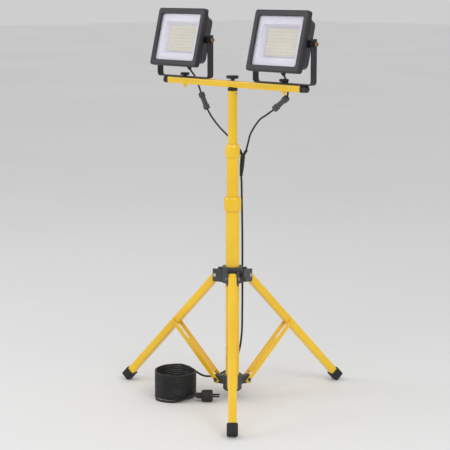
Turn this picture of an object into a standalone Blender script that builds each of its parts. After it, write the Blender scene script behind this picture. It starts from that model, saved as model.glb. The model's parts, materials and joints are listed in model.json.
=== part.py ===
"""Twin-head LED work light on a folding telescopic tripod. Metres, +Z up, crossbar along X, lamps face -Y."""

import math

import bmesh
import bpy
from mathutils import Matrix, Vector

for old in list(bpy.data.objects):
    bpy.data.objects.remove(old)

# Driving dimensions
SHIFT = Vector((0.025528, -0.047077, -0.000111))  # puts the origin at the centre of the base of the bounding box
LEG_ANGLES = (-44.0, 76.0, 196.0)  # polar directions of the legs
PIVOT_R = 0.046
HUB_PIVOT_Z = 0.345
BASE_PIVOT_Z = 0.047
LEG_TILT = math.radians(42.5)
LEG_LENGTH = 0.4515
STRUT = 0.2021
GAP = 0.0004
BAR_Z = 0.868
BAR_HALF = 0.009
BAR_LENGTH = 0.253
LAMP_X = 0.19
LAMP_Z = 0.982
LAMP_TILT = math.radians(-14.0)
LAMP_W = 0.190
LAMP_H = 0.160
COIL = Vector((-0.1127, -0.1109, 0.0))
COIL_R = 0.058
COIL_TURNS = 12
CORD_D = 0.0056
LEAD_D = 0.005

work = bpy.data.collections.new("twin_head_work_light")
bpy.context.scene.collection.children.link(work)
cutters = bpy.data.collections.new("cutters")
bpy.context.scene.collection.children.link(cutters)

COLORS = {
    "yellow_paint": (0.98, 0.68, 0.03, 0.0, 0.35),
    "black_plastic": (0.03, 0.03, 0.03, 0.0, 0.5),
    "grey_plastic": (0.16, 0.16, 0.18, 0.0, 0.5),
    "lamp_paint": (0.035, 0.03, 0.04, 0.3, 0.45),
    "clear_glass": (0.85, 0.85, 0.92, 0.0, 0.05),
    "white_plastic": (0.86, 0.86, 0.9, 0.0, 0.35),
    "led_board": (0.85, 0.8, 0.5, 0.0, 0.5),
    "black_rubber": (0.02, 0.02, 0.02, 0.0, 0.7),
    "bright_steel": (0.65, 0.65, 0.63, 1.0, 0.3),
    "cord_rubber": (0.015, 0.015, 0.018, 0.0, 0.55),
}


def material(node, slot):
    made = bpy.data.materials.new(node + "_" + slot)
    made.use_nodes = True
    bsdf = made.node_tree.nodes["Principled BSDF"]
    r, g, b, metal, rough = COLORS[slot]
    bsdf.inputs["Base Color"].default_value = (r, g, b, 1.0)
    bsdf.inputs["Metallic"].default_value = metal
    bsdf.inputs["Roughness"].default_value = rough
    return made


def add(name, verts, faces, slot=None):
    mesh = bpy.data.meshes.new(name)
    mesh.from_pydata([tuple(v) for v in verts], [], faces)
    bm = bmesh.new()
    bm.from_mesh(mesh)
    bmesh.ops.remove_doubles(bm, verts=bm.verts, dist=1e-6)
    bmesh.ops.recalc_face_normals(bm, faces=bm.faces)
    bm.to_mesh(mesh)
    bm.free()
    obj = bpy.data.objects.new(name, mesh)
    if slot is None:
        cutters.objects.link(obj)
        obj.hide_render = True
        obj.display_type = "WIRE"
    else:
        work.objects.link(obj)
        obj.data.materials.append(material(name, slot))
    return obj


def rings(name, loops, slot, closed=False):
    """A body skinned through loops of the same number of points, capped at both ends unless closed."""
    n = len(loops[0])
    verts = [v for loop in loops for v in loop]
    faces = []
    last = len(loops) if closed else len(loops) - 1
    for k in range(last):
        a = k * n
        b = ((k + 1) % len(loops)) * n
        for i in range(n):
            j = (i + 1) % n
            faces.append((a + i, a + j, b + j, b + i))
    if not closed:
        faces.append(tuple(range(n)))
        faces.append(tuple(range((len(loops) - 1) * n, len(loops) * n)))
    return add(name, verts, faces, slot)


def circle(r, z, n, lobes=0, depth=0.0):
    points = []
    for i in range(n):
        a = 2 * math.pi * i / n
        q = r * (1 - depth * (0.5 - 0.5 * math.cos(lobes * a)))
        points.append(Vector((q * math.cos(a), q * math.sin(a), z)))
    return points


def turned(name, profile, slot, closed=False, n=24, lobes=0, depth=0.0, lobed_from=0.012):
    loops = [circle(r, z, n, lobes, depth if r >= lobed_from else 0.0) for r, z in profile]
    return rings(name, loops, slot, closed)


def tube(name, r_in, r_out, z0, z1, slot, n=28):
    profile = [(r_out, z0), (r_out, z1), (r_in, z1), (r_in, z0)]
    return turned(name, profile, slot, closed=True, n=n)


def rounded(w, h, r, y, seg=3):
    """A rounded rectangle in the XZ plane at depth y."""
    points = []
    for cx, cz, start in ((1, 1, 0), (-1, 1, 90), (-1, -1, 180), (1, -1, 270)):
        for k in range(seg + 1):
            a = math.radians(start + 90 * k / seg)
            px = cx * (w / 2 - r) + r * math.cos(a)
            pz = cz * (h / 2 - r) + r * math.sin(a)
            points.append(Vector((px, y, pz)))
    return points


def box(name, low, high, slot=None):
    x = (low[0], high[0])
    y = (low[1], high[1])
    z = (low[2], high[2])
    verts = [(x[i], y[j], z[k]) for i in (0, 1) for j in (0, 1) for k in (0, 1)]
    faces = [(0, 1, 3, 2), (4, 6, 7, 5), (0, 4, 5, 1), (2, 3, 7, 6), (0, 2, 6, 4), (1, 5, 7, 3)]
    return add(name, verts, faces, slot)


def move(obj, matrix):
    obj.data.transform(matrix)
    return obj


def boolean(obj, other, operation):
    mod = obj.modifiers.new(operation, "BOOLEAN")
    mod.operation = operation
    mod.solver = "EXACT"
    mod.object = other
    graph = bpy.context.evaluated_depsgraph_get()
    graph.update()
    mesh = bpy.data.meshes.new_from_object(obj.evaluated_get(graph))
    obj.modifiers.remove(mod)
    slots = list(obj.data.materials)
    obj.data = mesh
    obj.data.materials.clear()
    for slot in slots:
        obj.data.materials.append(slot)
    for polygon in obj.data.polygons:
        polygon.material_index = 0
    bm = bmesh.new()
    bm.from_mesh(obj.data)
    bmesh.ops.remove_doubles(bm, verts=bm.verts, dist=1e-6)
    bm.to_mesh(obj.data)
    bm.free()
    bpy.data.objects.remove(other)
    return obj


def rod(start, end, r, slot=None, name="cutter", n=16):
    start = Vector(start)
    end = Vector(end)
    made = turned(name, [(r, 0.0), (r, (end - start).length)], slot, n=n)
    turn = (end - start).to_track_quat("Z", "Y").to_matrix().to_4x4()
    return move(made, Matrix.Translation(start) @ turn)


def smooth(points, step):
    """A centripetal-like smooth run through the route's points."""
    p = [Vector(q) for q in points]
    p = [2 * p[0] - p[1]] + p + [2 * p[-1] - p[-2]]
    out = []
    for k in range(1, len(p) - 2):
        count = max(2, round((p[k + 1] - p[k]).length / step))
        for i in range(count):
            t = i / count
            a = 2 * p[k]
            b = (p[k + 1] - p[k - 1]) * t
            c = (2 * p[k - 1] - 5 * p[k] + 4 * p[k + 1] - p[k + 2]) * t * t
            d = (3 * p[k] - p[k - 1] - 3 * p[k + 1] + p[k + 2]) * t ** 3
            out.append(0.5 * (a + b + c + d))
    return out + [p[-2]]


def cord(name, points, diameter, slot="cord_rubber", step=None):
    run = smooth(points, step or 2.5 * diameter)
    curve = bpy.data.curves.new(name, "CURVE")
    curve.dimensions = "3D"
    curve.bevel_depth = diameter / 2
    curve.bevel_resolution = 2
    curve.use_fill_caps = True
    spline = curve.splines.new("POLY")
    spline.points.add(len(run) - 1)
    for point, at in zip(spline.points, run):
        point.co = (at.x, at.y, at.z, 1.0)
    temp = bpy.data.objects.new(name + "_curve", curve)
    work.objects.link(temp)
    graph = bpy.context.evaluated_depsgraph_get()
    mesh = bpy.data.meshes.new_from_object(temp.evaluated_get(graph))
    bpy.data.objects.remove(temp)
    made = add(name, [v.co for v in mesh.vertices], [tuple(f.vertices) for f in mesh.polygons], slot)
    return made


def fitting(name, start, end, profile, slot, n=20, lobes=0, depth=0.0):
    """A turned piece whose profile heights are shares of the way from start to end."""
    start = Vector(start)
    end = Vector(end)
    length = (end - start).length
    made = turned(name, [(r, share * length) for r, share in profile], slot, n=n, lobes=lobes, depth=depth)
    turn = (end - start).to_track_quat("Z", "Y").to_matrix().to_4x4()
    return move(made, Matrix.Translation(start) @ turn)


# Mast
tube("mast_tube_lower", 0.0175, 0.019, 0.030, 0.546, "yellow_paint")
tube("mast_tube_middle", 0.0152, 0.0166, 0.250, 0.690, "yellow_paint")
tube("mast_tube_upper", 0.0112, 0.0127, 0.400, 0.850, "yellow_paint")
LOWER_COLLAR = [(0.0193 + GAP, 0.5256), (0.0226, 0.5256), (0.0237, 0.528), (0.0237, 0.559)]
LOWER_COLLAR += [(0.0215, 0.5635), (0.0171, 0.5635), (0.0171, 0.5468), (0.0193 + GAP, 0.5468)]
turned("lower_lock_collar", LOWER_COLLAR, "yellow_paint", closed=True, n=28)
UPPER_COLLAR = [(0.0170, 0.672), (0.0199, 0.672), (0.0199, 0.698), (0.0160, 0.707)]
UPPER_COLLAR += [(0.0131, 0.707), (0.0131, 0.6908), (0.0170, 0.6908)]
turned("upper_lock_collar", UPPER_COLLAR, "yellow_paint", closed=True, n=48, lobes=16, depth=0.05, lobed_from=0.0185)
turned("mast_head", [(0.0108, 0.822), (0.0108, 0.8504), (0.0135, 0.8504), (0.0135, 0.857), (0.012, 0.8583)],
       "black_plastic")

# Base bracket: a cup under the mast with one tongue for each strut
CUP = [(0.0225, 0.022), (0.0262, 0.026), (0.0262, 0.066), (0.0194, 0.066), (0.0194, 0.0295), (0.006, 0.0295)]
base = turned("mast_base_bracket", CUP, "grey_plastic", n=28)
HUB = [(0.0285, 0.327), (0.0285, 0.3715), (0.0196, 0.3715), (0.0196, 0.327)]
hub = turned("hub_collar", HUB, "grey_plastic", closed=True, n=28)
for angle in LEG_ANGLES:
    turn = Matrix.Rotation(math.radians(angle), 4, "Z")
    tongue = box("tongue", (0.0240, -0.0085, 0.036), (0.054, 0.0085, 0.058))
    boolean(base, move(tongue, turn), "UNION")
    for length, r in ((0.0166, 0.003), (-0.0166, 0.003)):
        start = (PIVOT_R, 0.0, BASE_PIVOT_Z)
        boolean(base, move(rod(start, (PIVOT_R, length, BASE_PIVOT_Z), r), turn), "UNION")
        head = ((PIVOT_R, length * 0.90, BASE_PIVOT_Z), (PIVOT_R, length, BASE_PIVOT_Z))
        boolean(base, move(rod(head[0], head[1], 0.0052), turn), "UNION")
    for side in (-1, 1):
        low = min(side * 0.0122, side * 0.0168)
        lug = box("lug", (0.0235, low, 0.327), (0.053, low + 0.0046, 0.362))
        boolean(hub, move(lug, turn), "UNION")
    boolean(hub, move(rod((PIVOT_R, -0.03, HUB_PIVOT_Z), (PIVOT_R, 0.03, HUB_PIVOT_Z), 0.0036), turn), "DIFFERENCE")

# Legs, feet, struts and their pins
for index, angle in enumerate(LEG_ANGLES):
    tag = "_" + "abc"[index]
    turn = Matrix.Rotation(math.radians(angle), 4, "Z")
    # local leg frame: the tube hangs along -Z from the pivot, then swings out
    swing = Matrix.Translation((PIVOT_R, 0, HUB_PIVOT_Z)) @ Matrix.Rotation(-LEG_TILT, 4, "Y")
    outer = [rounded(0.0220, 0.0226, 0.004, y) for y in (-LEG_LENGTH + 0.006, 0.010)]
    inner = [rounded(0.0190, 0.0196, 0.003, y) for y in (0.010, -LEG_LENGTH + 0.006)]
    leg = rings("leg_tube" + tag, outer + inner, "yellow_paint", closed=True)
    lay = Matrix(((1, 0, 0, 0), (0, 0, 1, 0), (0, 1, 0, 0), (0, 0, 0, 1)))
    move(leg, lay)
    leg.data.flip_normals()
    boolean(leg, rod((0, -0.03, 0), (0, 0.03, 0), 0.0036), "DIFFERENCE")
    move(leg, turn @ swing)
    cup = [rounded(0.0290, 0.0290, 0.006, -LEG_LENGTH - 0.003), rounded(0.0290, 0.0290, 0.006, -LEG_LENGTH + 0.024)]
    cup += [rounded(0.0228, 0.0234, 0.0042, -LEG_LENGTH + 0.024), rounded(0.0228, 0.0234, 0.0042, -LEG_LENGTH + 0.0055)]
    foot = rings("foot" + tag, cup, "black_rubber")
    move(foot, turn @ swing @ lay)
    foot.data.flip_normals()
    cap = [rounded(0.0186, 0.0192, 0.003, 0.0045), rounded(0.0186, 0.0192, 0.003, 0.0104)]
    cap += [rounded(0.0220, 0.0226, 0.004, 0.0104), rounded(0.0200, 0.0206, 0.004, 0.0132)]
    plug = rings("leg_cap" + tag, cap, "black_plastic")
    move(plug, turn @ swing @ lay)
    plug.data.flip_normals()
    half = 0.0186
    pin = [(0.0052, 0.0), (0.0052, 0.042), (0.003, 0.0421), (0.003, 0.9579), (0.0052, 0.958), (0.0052, 1.0)]
    ends = ((PIVOT_R, -half, HUB_PIVOT_Z), (PIVOT_R, half, HUB_PIVOT_Z))
    move(fitting("hub_pin" + tag, ends[0], ends[1], pin, "bright_steel", n=14), turn)
    # strut: two side plates and a web, hung on the bracket's tongue, ears over the leg
    rise = Matrix.Translation((PIVOT_R, 0, BASE_PIVOT_Z)) @ Matrix.Rotation(LEG_TILT, 4, "Y")
    strut = box("strut" + tag, (-0.0060, 0.0122, -0.010), (0.0060, 0.0144, STRUT + 0.008), "yellow_paint")
    plate = box("plate", (-0.0060, -0.0144, -0.010), (0.0060, -0.0122, STRUT + 0.008))
    web = box("web", (-0.0052, -0.0130, 0.022), (-0.0032, 0.0130, STRUT - 0.062))
    web_joined = boolean(web, plate, "UNION")
    boolean(strut, web_joined, "UNION")
    boolean(strut, rod((0, -0.03, 0), (0, 0.03, 0), 0.0036), "DIFFERENCE")
    for side in (-1, 1):
        boolean(strut, rod((0, side * 0.0135, STRUT), (0, side * 0.0168, STRUT), 0.0044), "UNION")
    move(strut, turn @ rise)

# Hub clamp knob
turn = Matrix.Rotation(math.radians(16.0), 4, "Z")
CLAMP = [(0.005, 0.0), (0.005, 0.42), (0.014, 0.43), (0.0165, 0.6), (0.0165, 0.85), (0.013, 1.0)]
knob = fitting("hub_clamp_knob", (0.0290, 0, 0.350), (0.0500, 0, 0.350), CLAMP, "grey_plastic", n=30, lobes=6, depth=0.14)
move(knob, turn)

# Crossbar
side = 2 * BAR_HALF
wall = [rounded(side, side, 0.0025, y) for y in (-BAR_LENGTH, BAR_LENGTH)]
wall += [rounded(side - 0.003, side - 0.003, 0.0015, y) for y in (BAR_LENGTH, -BAR_LENGTH)]
bar = rings("crossbar_tube", wall, "yellow_paint", closed=True)
along = Matrix.Translation((0, 0, BAR_Z)) @ Matrix.Rotation(math.radians(-90), 4, "Z")
move(bar, along)
for sign in (-1, 1):
    for r, z0, z1 in ((0.0060, 0.8546, 0.8600), (0.0034, 0.8490, 0.8600)):
        boolean(bar, rod((sign * LAMP_X, 0, z0), (sign * LAMP_X, 0, z1), r), "UNION")
for sign, tag in ((-1, "_l"), (1, "_r")):
    cap = [rounded(0.0136, 0.0136, 0.002, 0.240), rounded(0.0136, 0.0136, 0.002, BAR_LENGTH + 0.0004)]
    cap += [rounded(0.0184, 0.0184, 0.004, BAR_LENGTH + 0.0004), rounded(0.0184, 0.0184, 0.004, BAR_LENGTH + 0.006)]
    cap += [rounded(0.0150, 0.0150, 0.005, BAR_LENGTH + 0.009), rounded(0.0180, 0.0180, 0.006, BAR_LENGTH + 0.012)]
    cap += [rounded(0.0180, 0.0180, 0.007, BAR_LENGTH + 0.018), rounded(0.0110, 0.0110, 0.005, BAR_LENGTH + 0.022)]
    end = rings("crossbar_cap" + tag, cap, "black_plastic")
    move(end, Matrix.Translation((0, 0, BAR_Z)) @ Matrix.Rotation(math.radians(-90 * sign), 4, "Z"))
KNOB = [(0.0055, 0.8776), (0.0055, 0.882), (0.0150, 0.8822), (0.0175, 0.884), (0.0175, 0.889), (0.0150, 0.891)]
turned("crossbar_knob", KNOB, "black_plastic", n=40, lobes=5, depth=0.14)

# Lamps
for sign, tag in ((-1, "_l"), (1, "_r")):
    xc = sign * LAMP_X
    place = Matrix.Translation((xc, 0, LAMP_Z)) @ Matrix.Rotation(LAMP_TILT, 4, "X")
    loops = [rounded(LAMP_W, LAMP_H, 0.007, -0.0275), rounded(LAMP_W, LAMP_H, 0.007, -0.0160)]
    loops += [rounded(0.1660, 0.1360, 0.006, -0.0160), rounded(0.1660, 0.1360, 0.006, -0.0262)]
    loops += [rounded(0.1580, 0.1280, 0.006, -0.0262), rounded(0.1600, 0.1300, 0.006, -0.0300)]
    loops += [rounded(0.1850, 0.1550, 0.006, -0.0300)]
    move(rings("bezel" + tag, loops, "lamp_paint", closed=True), place)
    loops = [rounded(0.1650, 0.1350, 0.006, -0.0258), rounded(0.1650, 0.1350, 0.006, -0.0228)]
    move(rings("glass" + tag, loops, "clear_glass"), place)
    loops = [rounded(0.1180, 0.0800, 0.003, -0.0075), rounded(0.1300, 0.0880, 0.003, -0.0215)]
    loops += [rounded(0.1600, 0.1300, 0.005, -0.0224), rounded(0.1600, 0.1300, 0.005, -0.0200)]
    loops += [rounded(0.1320, 0.0900, 0.004, -0.0195), rounded(0.1200, 0.0820, 0.004, -0.0055)]
    move(rings("reflector" + tag, loops, "white_plastic"), place)
    loops = [rounded(0.1130, 0.0750, 0.002, -0.0094), rounded(0.1130, 0.0750, 0.002, -0.0079)]
    move(rings("led_board" + tag, loops, "led_board"), place)
    loops = [rounded(0.1400, 0.1100, 0.008, 0.0200), rounded(0.1600, 0.1300, 0.008, -0.0155)]
    loops += [rounded(0.1680, 0.1380, 0.010, -0.0155), rounded(0.1680, 0.1380, 0.010, -0.0020)]
    loops += [rounded(0.1600, 0.1300, 0.012, 0.0040), rounded(0.1560, 0.1260, 0.014, 0.0200)]
    loops += [rounded(0.1400, 0.1080, 0.016, 0.0270), rounded(0.1260, 0.0960, 0.014, 0.0280)]
    housing = move(rings("housing" + tag, loops, "lamp_paint"), place)
    for k in range(7):
        fin_x = -0.048 + 0.016 * k
        fin = box("fin", (fin_x - 0.0015, 0.0250, -0.043), (fin_x + 0.0015, 0.0380, 0.043))
        boolean(housing, move(fin, place), "UNION")
    # gland under the back of the housing
    gx = -sign * 0.010
    GLAND = [(0.0050, 0.0), (0.0072, 0.02), (0.0072, 0.45), (0.0055, 0.5), (0.0058, 0.85), (0.0040, 1.0)]
    move(fitting("gland" + tag, (gx, 0.0220, -0.0675), (gx, 0.0298, -0.0779), GLAND, "black_plastic", n=18), place)
    # yoke strap with rounded bends
    inner = 0.1015
    thick = 0.003
    low = 0.8777
    high = LAMP_Z + 0.013
    outline = []
    for r, x0 in ((0.010, inner + thick), (0.007, inner)):
        level = low if r == 0.010 else low + thick
        path = [(-x0, high)]
        for k in range(5):
            a = math.radians(180 + 90 * k / 4)
            path.append((-x0 + r + r * math.cos(a), level + r + r * math.sin(a)))
        for k in range(5):
            a = math.radians(270 + 90 * k / 4)
            path.append((x0 - r + r * math.cos(a), level + r + r * math.sin(a)))
        path.append((x0, high))
        outline.append(path)
    n = len(outline[0])
    verts = []
    for y in (-0.010, 0.010):
        verts += [(x + xc, y, z) for x, z in outline[0]]
        verts += [(x + xc, y, z) for x, z in outline[1]]
    faces = []
    for i in range(n - 1):
        faces.append((i, i + 1, n + i + 1, n + i))
        faces.append((2 * n + i, 3 * n + i, 3 * n + i + 1, 2 * n + i + 1))
        faces.append((i, 2 * n + i, 2 * n + i + 1, i + 1))
        faces.append((n + i, n + i + 1, 3 * n + i + 1, 3 * n + i))
    faces.append((0, n, 3 * n, 2 * n))
    faces.append((n - 1, 3 * n - 1, 4 * n - 1, 2 * n - 1))
    yoke = add("yoke" + tag, verts, faces, "lamp_paint")
    boolean(yoke, rod((xc - 0.12, 0, LAMP_Z), (xc + 0.12, 0, LAMP_Z), 0.0046), "DIFFERENCE")
    for out, part in ((-1, "_outer"), (1, "_inner")):
        way = out * sign * -1
        BOLT = [(0.0100, 0.0), (0.0100, 0.618), (0.0042, 0.62), (0.0042, 0.786), (0.0075, 0.79), (0.0070, 1.0)]
        ends = ((xc + way * 0.0844, 0, LAMP_Z), (xc + way * 0.1112, 0, LAMP_Z))
        fitting("tilt_bolt" + part + tag, ends[0], ends[1], BOLT, "black_plastic", n=20)
    WING = [(0.0055, 0.8812), (0.0060, 0.8830), (0.0135, 0.8832), (0.0155, 0.885), (0.0155, 0.889), (0.0130, 0.8905)]
    wing = turned("yoke_knob" + tag, WING, "black_plastic", n=40, lobes=4, depth=0.3)
    move(wing, Matrix.Translation((xc, 0, 0)))

# Leads from the lamps, their connectors and the splitter
UPPER_L = [(-0.1800, 0.0108, 0.8972), (-0.1786, 0.0165, 0.8905), (-0.1765, 0.0250, 0.8790), (-0.1710, 0.0325, 0.8560),
           (-0.1643, 0.0350, 0.8372)]
UPPER_R = [(0.1800, 0.0108, 0.8972), (0.1790, 0.0165, 0.8905), (0.1775, 0.0250, 0.8790), (0.1735, 0.0325, 0.8580),
           (0.1708, 0.0349, 0.8428)]
CONN_L = ((-0.1628, 0.0350, 0.8341), (-0.1370, 0.0350, 0.7900))
CONN_R = ((0.1686, 0.0350, 0.8397), (0.1216, 0.0350, 0.8060))
LOWER_L = [(-0.1353, 0.0350, 0.7878), (-0.1200, 0.0353, 0.7700), (-0.0900, 0.0360, 0.7440), (-0.0560, 0.0375, 0.7210),
           (-0.0300, 0.0390, 0.7030), (-0.0155, 0.0400, 0.6910)]
LOWER_R = [(0.1193, 0.0350, 0.8046), (0.0950, 0.0352, 0.7905), (0.0640, 0.0355, 0.7720), (0.0325, 0.0370, 0.7360),
           (0.0200, 0.0390, 0.7090), (0.0142, 0.0400, 0.6930)]
cord("lead_upper_l", UPPER_L, LEAD_D)
cord("lead_upper_r", UPPER_R, LEAD_D)
cord("lead_lower_l", LOWER_L, LEAD_D)
cord("lead_lower_r", LOWER_R, LEAD_D)
CONNECTOR = [(0.0050, 0.0), (0.0090, 0.03), (0.0090, 0.26), (0.0070, 0.27), (0.0072, 0.73), (0.0090, 0.74),
             (0.0090, 0.97), (0.0050, 1.0)]
fitting("connector_l", CONN_L[0], CONN_L[1], CONNECTOR, "grey_plastic", n=18)
fitting("connector_r", CONN_R[0], CONN_R[1], CONNECTOR, "grey_plastic", n=18)
splitter = fitting("cord_splitter", (-0.0010, 0.0400, 0.6760), (-0.0080, 0.0400, 0.6150),
                   [(0.0050, 0.0), (0.0065, 0.12), (0.0060, 0.6), (0.0040, 1.0)], "cord_rubber", n=16)
boolean(splitter, rod((-0.0020, 0.0400, 0.6700), (-0.0136, 0.0400, 0.6865), 0.0040), "UNION")
boolean(splitter, rod((-0.0010, 0.0400, 0.6700), (0.0127, 0.0400, 0.6875), 0.0040), "UNION")

# Power cord: down behind the mast, under one strut, to the coil, the tail and the plug
MAIN = [(-0.0095, 0.0430, 0.6050), (-0.0140, 0.0490, 0.5500), (-0.0190, 0.0560, 0.4600), (-0.0205, 0.0580, 0.3600),
        (-0.0205, 0.0580, 0.2400), (-0.0225, 0.0570, 0.1600), (-0.0320, 0.0500, 0.1020), (-0.0560, 0.0320, 0.0600),
        (-0.0780, 0.0050, 0.0440), (-0.0920, -0.0240, 0.0430), (-0.1010, -0.0400, 0.0520), (-0.1127, -0.0480, 0.0600)]
cord("cord_main", MAIN, CORD_D, step=0.014)
pitch = 0.0058
coil = []
inner_r = COIL_R - CORD_D
for k in range(COIL_TURNS):
    z = 0.0003 + pitch * k
    coil += [(COIL_R - 0.0008, z), (COIL_R, z + pitch / 2)]
coil.append((COIL_R - 0.0008, 0.0003 + pitch * COIL_TURNS))
coil += [(inner_r, 0.0003 + pitch * COIL_TURNS), (inner_r, 0.0003)]
move(turned("cord_coil", coil, "cord_rubber", closed=True, n=28), Matrix.Translation(COIL))
RIGHT = Vector((0.6947, 0.7193, 0.0))  # the way the plug points
BACK = Vector((-0.7193, 0.6947, 0.0))
TAIL = []
for right, back, z in ((-0.0578, -0.0220, 0.0032), (-0.0500, -0.0380, 0.0032), (-0.0300, -0.0560, 0.0032),
                       (0.0000, -0.0635, 0.0040), (0.0260, -0.0590, 0.0090), (0.0440, -0.0500, 0.0155),
                       (0.0570, -0.0470, 0.0170)):
    TAIL.append(COIL + RIGHT * right + BACK * back + Vector((0, 0, z)))
cord("cord_tail", TAIL, CORD_D, step=0.012)
PLUG = [(0.0060, 0.0), (0.0085, 0.10), (0.0080, 0.30), (0.0150, 0.36), (0.0165, 0.50), (0.0165, 0.92), (0.0150, 1.0)]
start = COIL + RIGHT * 0.0580 + BACK * -0.0470 + Vector((0, 0, 0.0170))
way = RIGHT
plug = fitting("power_plug", start, start + way * 0.046, PLUG, "cord_rubber", n=22)
across = Vector((-way.y, way.x, 0.0))
for side in (-1, 1):
    root = start + way * 0.044 + across * (side * 0.0095)
    boolean(plug, rod(root, root + way * 0.021, 0.0024), "UNION")

# Origins of the turning pieces on their axes, then the shared frame
ORIGINS = {"lower_lock_collar": (0, 0, 0.545), "upper_lock_collar": (0, 0, 0.69), "crossbar_tube": (0, 0, BAR_Z)}
for index, angle in enumerate(LEG_ANGLES):
    tag = "_" + "abc"[index]
    c = PIVOT_R * math.cos(math.radians(angle))
    s = PIVOT_R * math.sin(math.radians(angle))
    for name in ("leg_tube", "foot", "leg_cap"):
        ORIGINS[name + tag] = (c, s, HUB_PIVOT_Z)
    ORIGINS["strut" + tag] = (c, s, BASE_PIVOT_Z)
for sign, tag in ((-1, "_l"), (1, "_r")):
    for name in ("bezel", "glass", "reflector", "led_board", "housing", "gland", "tilt_bolt_outer", "tilt_bolt_inner"):
        ORIGINS[name + tag] = (sign * LAMP_X, 0, LAMP_Z)
    for name in ("yoke", "yoke_knob"):
        ORIGINS[name + tag] = (sign * LAMP_X, 0, BAR_Z)
for obj in list(work.objects):
    at = Vector(ORIGINS.get(obj.name, (0, 0, 0)))
    obj.data.transform(Matrix.Translation(-at))
    obj.location = at + SHIFT
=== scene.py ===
import math

import bmesh
import bpy
from mathutils import Matrix, Vector
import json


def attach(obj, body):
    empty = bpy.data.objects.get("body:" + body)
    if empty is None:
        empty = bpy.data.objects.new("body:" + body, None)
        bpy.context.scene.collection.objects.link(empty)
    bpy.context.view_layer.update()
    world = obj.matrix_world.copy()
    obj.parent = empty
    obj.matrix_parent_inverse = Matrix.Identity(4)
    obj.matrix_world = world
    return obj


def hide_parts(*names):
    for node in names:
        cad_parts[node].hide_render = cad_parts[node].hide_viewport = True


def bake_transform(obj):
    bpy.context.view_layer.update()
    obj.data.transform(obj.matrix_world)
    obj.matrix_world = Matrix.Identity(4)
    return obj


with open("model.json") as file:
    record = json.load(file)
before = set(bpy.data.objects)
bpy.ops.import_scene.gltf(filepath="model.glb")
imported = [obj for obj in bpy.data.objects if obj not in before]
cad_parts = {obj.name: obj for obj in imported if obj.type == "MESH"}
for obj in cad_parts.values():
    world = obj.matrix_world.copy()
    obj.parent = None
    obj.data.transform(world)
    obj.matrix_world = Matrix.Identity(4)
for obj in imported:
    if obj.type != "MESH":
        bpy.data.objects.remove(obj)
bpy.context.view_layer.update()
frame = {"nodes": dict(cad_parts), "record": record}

SHIFT = Vector((0.025528, -0.047077, -0.000111))
LAMP_X = 0.19
LAMP_Z = 0.982
LAMP_TILT = math.radians(-14.0)
COIL = Vector((-0.1127, -0.1109, 0.0))
RIGHT = Vector((0.6947, 0.7193, 0.0))
BACK = Vector((-0.7193, 0.6947, 0.0))
CORD_D = 0.0056
LEAD_D = 0.005
COIL_TURNS = 12 + 127 / 360
COIL_START = 120  # degrees round the coil where the cord comes in
COIL_LINE_R = 0.0552
SIDES = ((-1, "_l"), (1, "_r"))

nodes = frame["nodes"]
bodies = frame["record"]["behaviour"]["bodies"]
slots = {s["node"]: s["material_slot"] for s in frame["record"]["subparts"]}
body_of = {n: b for b, members in bodies.items() for n in members}


def surface(name, dark, light, rough, metal=0.0, scale=60.0, bump=0.05, coat=0.0, spread=0.12, speck=None, alpha=1.0):
    """A coated surface: blotchy colour, uneven sheen and a fine grain in the bump."""
    made = bpy.data.materials.new(name)
    made.use_nodes = True
    tree = made.node_tree
    bsdf = tree.nodes["Principled BSDF"]
    coords = tree.nodes.new("ShaderNodeTexCoord")
    broad = tree.nodes.new("ShaderNodeTexNoise")
    broad.inputs["Scale"].default_value = scale * 0.12
    broad.inputs["Detail"].default_value = 5.0
    fine = tree.nodes.new("ShaderNodeTexNoise")
    fine.inputs["Scale"].default_value = scale * 9.0
    fine.inputs["Detail"].default_value = 3.0
    ramp = tree.nodes.new("ShaderNodeValToRGB")
    ramp.color_ramp.elements[0].position = 0.35
    ramp.color_ramp.elements[0].color = (*dark, 1.0)
    ramp.color_ramp.elements[1].position = 0.65
    ramp.color_ramp.elements[1].color = (*light, 1.0)
    sheen = tree.nodes.new("ShaderNodeMapRange")
    sheen.inputs["To Min"].default_value = max(0.02, rough - spread)
    sheen.inputs["To Max"].default_value = min(1.0, rough + spread)
    grain = tree.nodes.new("ShaderNodeBump")
    grain.inputs["Strength"].default_value = bump
    grain.inputs["Distance"].default_value = 0.0006
    for noise in (broad, fine):
        tree.links.new(coords.outputs["Object"], noise.inputs["Vector"])
    tree.links.new(broad.outputs["Fac"], ramp.inputs["Fac"])
    tree.links.new(broad.outputs["Fac"], sheen.inputs["Value"])
    tree.links.new(fine.outputs["Fac"], grain.inputs["Height"])
    colour = ramp.outputs["Color"]
    if speck:
        dots = tree.nodes.new("ShaderNodeTexVoronoi")
        dots.inputs["Scale"].default_value = scale * 2.0
        cut = tree.nodes.new("ShaderNodeMapRange")
        cut.inputs["From Min"].default_value = 0.04
        cut.inputs["From Max"].default_value = 0.08
        cut.inputs["To Min"].default_value = 1.0
        cut.inputs["To Max"].default_value = 0.0
        mix = tree.nodes.new("ShaderNodeMixRGB")
        mix.inputs["Color2"].default_value = (*speck, 1.0)
        tree.links.new(coords.outputs["Object"], dots.inputs["Vector"])
        tree.links.new(dots.outputs["Distance"], cut.inputs["Value"])
        tree.links.new(cut.outputs["Result"], mix.inputs["Fac"])
        tree.links.new(colour, mix.inputs["Color1"])
        colour = mix.outputs["Color"]
    tree.links.new(colour, bsdf.inputs["Base Color"])
    tree.links.new(sheen.outputs["Result"], bsdf.inputs["Roughness"])
    tree.links.new(grain.outputs["Normal"], bsdf.inputs["Normal"])
    bsdf.inputs["Metallic"].default_value = metal
    bsdf.inputs["Coat Weight"].default_value = coat
    bsdf.inputs["Coat Roughness"].default_value = 0.12
    bsdf.inputs["Alpha"].default_value = alpha
    return made


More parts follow.
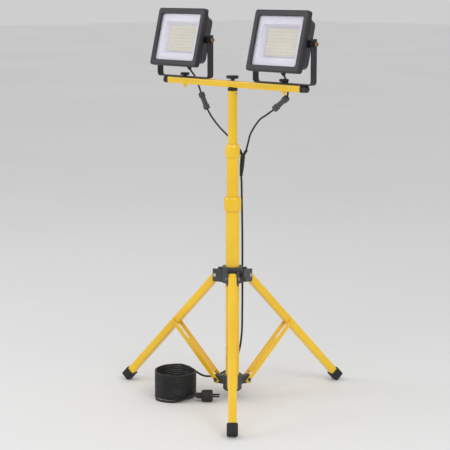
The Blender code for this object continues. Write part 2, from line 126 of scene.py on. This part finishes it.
LOOKS = {
    "yellow_paint": surface("yellow_paint", (0.93, 0.55, 0.005), (1.0, 0.64, 0.012), 0.30, coat=0.5, bump=0.12,
                            speck=(0.80, 0.46, 0.01)),
    "black_plastic": surface("black_plastic", (0.010, 0.010, 0.010), (0.018, 0.018, 0.017), 0.42, bump=0.25),
    "grey_plastic": surface("grey_plastic", (0.045, 0.047, 0.052), (0.075, 0.077, 0.085), 0.48, bump=0.3),
    "lamp_paint": surface("lamp_paint", (0.011, 0.009, 0.014), (0.020, 0.016, 0.024), 0.42, bump=0.45,
                          scale=90, speck=(0.035, 0.030, 0.040)),
    "clear_glass": surface("clear_glass", (0.74, 0.73, 0.88), (0.80, 0.80, 0.93), 0.06, spread=0.03, bump=0.01,
                           coat=0.3, alpha=0.16),
    "white_plastic": surface("white_plastic", (0.80, 0.79, 0.86), (0.88, 0.87, 0.93), 0.3, bump=0.05),
    "led_board": surface("led_board", (0.62, 0.61, 0.60), (0.72, 0.71, 0.69), 0.4, bump=0.1, scale=120),
    "black_rubber": surface("black_rubber", (0.010, 0.010, 0.010), (0.020, 0.019, 0.019), 0.68, bump=0.5),
    "bright_steel": surface("bright_steel", (0.50, 0.49, 0.47), (0.66, 0.65, 0.63), 0.3, metal=1.0, bump=0.15),
    "cord_rubber": surface("cord_rubber", (0.008, 0.008, 0.009), (0.016, 0.016, 0.017), 0.5, bump=0.3, scale=140),
    "led_chip": surface("led_chip", (0.86, 0.76, 0.30), (0.93, 0.86, 0.42), 0.35, bump=0.1, scale=200),
    "bronze": surface("bronze", (0.32, 0.19, 0.09), (0.45, 0.29, 0.15), 0.35, metal=1.0, bump=0.2),
}


def smooth(mesh, angle=38.0):
    """Smooth shading with edges sharper than the angle kept crisp."""
    for polygon in mesh.polygons:
        polygon.use_smooth = True
    mesh.set_sharp_from_angle(angle=math.radians(angle))


def build(name, verts, faces, body, look):
    """A mesh piece with its look, riding on a body when one is given."""
    mesh = bpy.data.meshes.new(name)
    mesh.from_pydata([tuple(v) for v in verts], [], faces)
    bm = bmesh.new()
    bm.from_mesh(mesh)
    bmesh.ops.recalc_face_normals(bm, faces=bm.faces)
    bm.to_mesh(mesh)
    bm.free()
    smooth(mesh)
    obj = bpy.data.objects.new(name, mesh)
    bpy.context.scene.collection.objects.link(obj)
    mesh.materials.append(LOOKS[look])
    if body:
        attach(obj, body)
    return obj


def turned(profile, n, matrix):
    """Verts and faces of a closed turned piece, its profile heights along the matrix's Z."""
    verts = []
    for r, z in profile:
        for i in range(n):
            a = 2 * math.pi * i / n
            verts.append(matrix @ Vector((r * math.cos(a), r * math.sin(a), z)))
    faces = []
    for k in range(len(profile) - 1):
        for i in range(n):
            j = (i + 1) % n
            faces.append((k * n + i, k * n + j, (k + 1) * n + j, (k + 1) * n + i))
    faces.append(tuple(range(n)))
    faces.append(tuple(range((len(profile) - 1) * n, len(profile) * n)))
    return verts, faces


# Every hard piece again, smooth-shaded, those in paint, plastic or rubber with their edges rounded
CORDS = ("cord_main", "cord_coil", "cord_tail", "lead_upper_l", "lead_upper_r", "lead_lower_l", "lead_lower_r")
BEVELS = {"yellow_paint": 0.0006, "lamp_paint": 0.0007, "grey_plastic": 0.0007, "black_plastic": 0.0006,
          "black_rubber": 0.0012, "cord_rubber": 0.0005}
for node, source in nodes.items():
    if node in CORDS:
        continue
    mesh = source.data.copy()
    bm = bmesh.new()
    bm.from_mesh(mesh)
    bmesh.ops.remove_doubles(bm, verts=bm.verts, dist=2e-5)
    bmesh.ops.dissolve_limit(bm, angle_limit=math.radians(1.0), verts=bm.verts, edges=bm.edges)
    bm.to_mesh(mesh)
    bm.free()
    smooth(mesh)
    obj = bpy.data.objects.new(node + "_v", mesh)
    bpy.context.scene.collection.objects.link(obj)
    mesh.materials.clear()
    mesh.materials.append(LOOKS[slots[node]])
    width = BEVELS.get(slots[node], 0.0)
    if width:
        edge = obj.modifiers.new("edge", "BEVEL")
        edge.width = width
        edge.segments = 2
        edge.limit_method = "ANGLE"
        edge.angle_limit = math.radians(40)
        edge.use_clamp_overlap = True
    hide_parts(node)
    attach(obj, body_of[node])


def route(points, step):
    """A smooth line through the route's points, with a point about every step."""
    p = [Vector(q) for q in points]
    p = [2 * p[0] - p[1]] + p + [2 * p[-1] - p[-2]]
    out = []
    for k in range(1, len(p) - 2):
        count = max(2, round((p[k + 1] - p[k]).length / step))
        for i in range(count):
            t = i / count
            b = (p[k + 1] - p[k - 1]) * t
            c = (2 * p[k - 1] - 5 * p[k] + 4 * p[k + 1] - p[k + 2]) * t * t
            d = (3 * p[k] - p[k - 1] - 3 * p[k + 1] + p[k + 2]) * t ** 3
            out.append(0.5 * (2 * p[k] + b + c + d))
    return out + [p[-2]]


def tube(name, points, diameter, sides=12):
    """A mesh tube through the points with a frame carried along it."""
    run = [q + SHIFT for q in points]
    verts = []
    faces = []
    normal = None
    for i, at in enumerate(run):
        way = (run[min(i + 1, len(run) - 1)] - run[max(i - 1, 0)]).normalized()
        if normal is None:
            normal = way.orthogonal().normalized()
        normal = (normal - way * normal.dot(way)).normalized()
        other = way.cross(normal)
        for k in range(sides):
            a = 2 * math.pi * k / sides
            verts.append(at + (normal * math.cos(a) + other * math.sin(a)) * (diameter / 2))
    for i in range(len(run) - 1):
        for k in range(sides):
            j = (k + 1) % sides
            faces.append((i * sides + k, i * sides + j, (i + 1) * sides + j, (i + 1) * sides + k))
    faces.append(tuple(range(sides)))
    faces.append(tuple(range((len(run) - 1) * sides, len(run) * sides)))
    obj = build(name, verts, faces, None, "cord_rubber")
    length = sum((b - a).length for a, b in zip(run, run[1:]))
    return obj, run, length


UPPER = {
    "_l": [(-0.1800, 0.0104, 0.8985), (-0.1786, 0.0165, 0.8905), (-0.1765, 0.0250, 0.8790), (-0.1710, 0.0325, 0.8560),
           (-0.1628, 0.0350, 0.8341)],
    "_r": [(0.1800, 0.0104, 0.8985), (0.1790, 0.0165, 0.8905), (0.1775, 0.0250, 0.8790), (0.1735, 0.0325, 0.8580),
           (0.1686, 0.0350, 0.8397)],
}
LOWER = {
    "_l": [(-0.1370, 0.0350, 0.7900), (-0.1200, 0.0353, 0.7700), (-0.0900, 0.0360, 0.7440), (-0.0560, 0.0375, 0.7210),
           (-0.0300, 0.0390, 0.7030), (-0.0125, 0.0400, 0.6855)],
    "_r": [(0.1216, 0.0350, 0.8060), (0.0950, 0.0352, 0.7905), (0.0640, 0.0355, 0.7720), (0.0325, 0.0370, 0.7360),
           (0.0200, 0.0390, 0.7090), (0.0115, 0.0400, 0.6865)],
}
for sign, tag in SIDES:
    run = route(UPPER[tag], 0.004)
    half = len(run) // 2
    for part, points, pair in (("_a", run[:half + 1], ("lamp" + tag, "yoke_body" + tag)),
                               ("_b", run[half:], ("yoke_body" + tag, "crossbar"))):
        obj, line, length = tube("lead_top" + tag + part, points, LEAD_D)
        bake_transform(obj)
        if part == "_a":
            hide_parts("lead_upper" + tag)
    obj, line, length = tube("lead_low" + tag, route(LOWER[tag], 0.004), LEAD_D)
    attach(obj, "crossbar")
    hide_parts("lead_lower" + tag)

# Power cord: three runs split at the mast's joints, the last with the coil and the tail
DROP = [(-0.0080, 0.0400, 0.6170), (-0.0095, 0.0430, 0.6050), (-0.0140, 0.0490, 0.5500), (-0.0190, 0.0560, 0.4600)]
REST = [(-0.0205, 0.0580, 0.3600), (-0.0205, 0.0580, 0.2400), (-0.0225, 0.0570, 0.1600), (-0.0320, 0.0500, 0.1020),
        (-0.0560, 0.0320, 0.0600), (-0.0780, 0.0050, 0.0440), (-0.0900, -0.0220, 0.0460), (-0.1010, -0.0400, 0.0580),
        (-0.1190, -0.0530, 0.0720), (-0.1405, -0.0628, 0.0765)]
whole = route(DROP + REST, 0.010)
first = [q for q in whole if q.z >= 0.578]
second = [q for q in whole if 0.52 <= q.z <= first[-1].z]
third = whole[whole.index(second[-1]):]
count = round(COIL_TURNS * 34)
for k in range(1, count + 1):
    share = k / count
    a = math.radians(COIL_START + 360 * COIL_TURNS * share)
    r = COIL_LINE_R + 0.0006 * math.sin(9 * a) * (1 - share)
    drop = 0.0765 - 0.0733 * share
    third.append(COIL + Vector((r * math.cos(a), r * math.sin(a), drop)))
TAIL = []
for right, back, z in ((-0.0500, -0.0380, 0.0032), (-0.0300, -0.0560, 0.0032), (0.0000, -0.0635, 0.0040),
                       (0.0260, -0.0590, 0.0090), (0.0440, -0.0500, 0.0155), (0.0590, -0.0470, 0.0170)):
    TAIL.append(COIL + RIGHT * right + BACK * back + Vector((0, 0, z)))
third += route([third[-1]] + TAIL, 0.006)[1:]
for name, points, pair, replaced, end in (
        ("power_cord_top", first, ("crossbar", "mast_upper"), (), "object"),
        ("power_cord_middle", second, ("mast_upper", "mast_middle"), (), "object"),
        ("power_cord", third, ("mast_middle", "base"), ("cord_main", "cord_coil", "cord_tail"), "plug")):
    obj, line, length = tube(name, points, CORD_D, sides=10)
    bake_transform(obj)
    if replaced:
        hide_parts(*replaced)

# LED chips, centre screws and socket heads of the tilt bolts
for sign, tag in SIDES:
    place = Matrix.Translation(SHIFT + Vector((sign * LAMP_X, 0, LAMP_Z))) @ Matrix.Rotation(LAMP_TILT, 4, "X")
    verts = []
    faces = []
    for col in range(12):
        for row in range(8):
            x = -0.0484 + 0.0088 * col
            z = -0.0308 + 0.0088 * row
            base = len(verts)
            for y, s in ((-0.0093, 0.0026), (-0.0103, 0.0026), (-0.0107, 0.0019)):
                verts += [place @ Vector((x + dx * s, y, z + dz * s)) for dx, dz in ((-1, -1), (1, -1), (1, 1), (-1, 1))]
            for k in (0, 4):
                for i in range(4):
                    j = (i + 1) % 4
                    faces.append((base + k + i, base + k + j, base + k + 4 + j, base + k + 4 + i))
            faces.append((base, base + 1, base + 2, base + 3))
            faces.append((base + 8, base + 9, base + 10, base + 11))
    build("led_chips" + tag, verts, faces, "lamp" + tag, "led_chip")
    turn = place @ Matrix.Translation((0, -0.0093, 0.0)) @ Matrix.Rotation(math.radians(90), 4, "X")
    verts, faces = turned([(0.0022, 0.0), (0.0022, 0.0012), (0.0014, 0.0020), (0.0009, 0.0020), (0.0008, 0.0012)], 14, turn)
    build("board_screw" + tag, verts, faces, "lamp" + tag, "bright_steel")
    for way in (-1, 1):
        seat = SHIFT + Vector((sign * LAMP_X + way * 0.1110, 0, LAMP_Z))
        turn = Matrix.Translation(seat) @ Matrix.Rotation(math.radians(90 * way), 4, "Y")
        head = [(0.0058, 0.0), (0.0060, 0.0022), (0.0052, 0.0032), (0.0032, 0.0032), (0.0029, 0.0010)]
        verts, faces = turned(head, 24, turn)
        build("socket_head%s_%d" % (tag, way + 1), verts, faces, "lamp" + tag, "bronze")
for way in (-1, 1):
    turn = Matrix.Translation(SHIFT + Vector((way * 0.0124, 0, 0.8430))) @ Matrix.Rotation(math.radians(90 * way), 4, "Y")
    verts, faces = turned([(0.0030, 0.0), (0.0032, 0.0016), (0.0022, 0.0028), (0.0010, 0.0028), (0.0008, 0.0018)], 16, turn)
    build("head_screw_%d" % (way + 1), verts, faces, "mast_upper", "bright_steel")

# Floor, light and camera
mesh = bpy.data.meshes.new("floor")
mesh.from_pydata([(-30, -30, 0), (30, -30, 0), (30, 30, 0), (-30, 30, 0)], [], [(0, 1, 2, 3)])
floor = bpy.data.objects.new("floor", mesh)
bpy.context.scene.collection.objects.link(floor)
mesh.materials.append(surface("floor", (0.90, 0.90, 0.90), (0.93, 0.93, 0.93), 0.7, scale=4.0, bump=0.0))
world = bpy.data.worlds.new("studio")
bpy.context.scene.world = world
world.use_nodes = True
world.node_tree.nodes["Background"].inputs["Color"].default_value = (1.0, 1.0, 1.0, 1.0)
world.node_tree.nodes["Background"].inputs["Strength"].default_value = 0.62
LIGHTS = (((2.6, -0.6, 2.4), 1.6, 24.0), ((-2.2, -2.4, 2.0), 1.6, 20.0), ((0.6, -2.6, 3.2), 2.0, 12.0))
for index, (at, size, power) in enumerate(LIGHTS):
    lamp = bpy.data.lights.new("studio_%d" % index, "AREA")
    lamp.energy = power
    lamp.size = size
    holder = bpy.data.objects.new("studio_%d" % index, lamp)
    holder.location = at
    holder.rotation_euler = (Vector((0, 0, 0.6)) - Vector(at)).to_track_quat("-Z", "Y").to_euler()
    bpy.context.scene.collection.objects.link(holder)
turn = math.radians(46.0)
out = Vector((math.sin(turn), -math.cos(turn), 0.0))
side = Vector((math.cos(turn), math.sin(turn), 0.0))
camera = bpy.data.cameras.new("camera")
camera.lens = 109.0
camera.sensor_width = 36.0
holder = bpy.data.objects.new("camera", camera)
holder.location = SHIFT + out * 3.65 + Vector((0, 0, 1.127))
pitch = 0.174
look = (-out - side * 0.0056) * math.cos(pitch) - Vector((0, 0, 1)) * math.sin(pitch)
holder.rotation_euler = look.to_track_quat("-Z", "Y").to_euler()
bpy.context.scene.collection.objects.link(holder)
bpy.context.scene.camera = holder
bpy.context.scene.view_settings.view_transform = "Standard"
